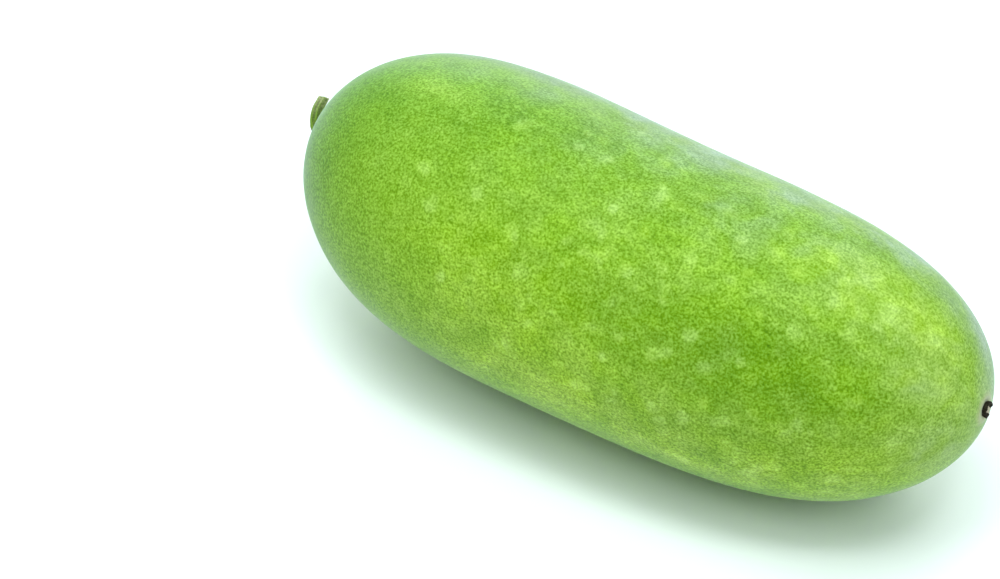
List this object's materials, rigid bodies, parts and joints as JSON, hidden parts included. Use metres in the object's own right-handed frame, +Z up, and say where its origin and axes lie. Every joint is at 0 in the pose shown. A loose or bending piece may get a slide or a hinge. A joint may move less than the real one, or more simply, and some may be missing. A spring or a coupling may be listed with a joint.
{
  "type": "wax gourd",
  "caption": "Long, blunt-ended green wax gourd as picked, lying on its side, with a short cut stem and a dried blossom remnant.",
  "frame": {"origin": "bottom centre of the part's box, on the surface that the gourd rests on", "axes": "+X along the fruit to its blossom end, +Y to the side that both ends bend to, +Z up"},
  "size_m": [0.3118, 0.126, 0.1254],
  "materials": {
    "rind": "satin",
    "stem": "matte",
    "dried_blossom": "matte"
  },
  "bodies": {
    "root": {"fruit": "rind", "stem": "stem", "blossom_remnant": "dried_blossom"}
  },
  "joints": []
}
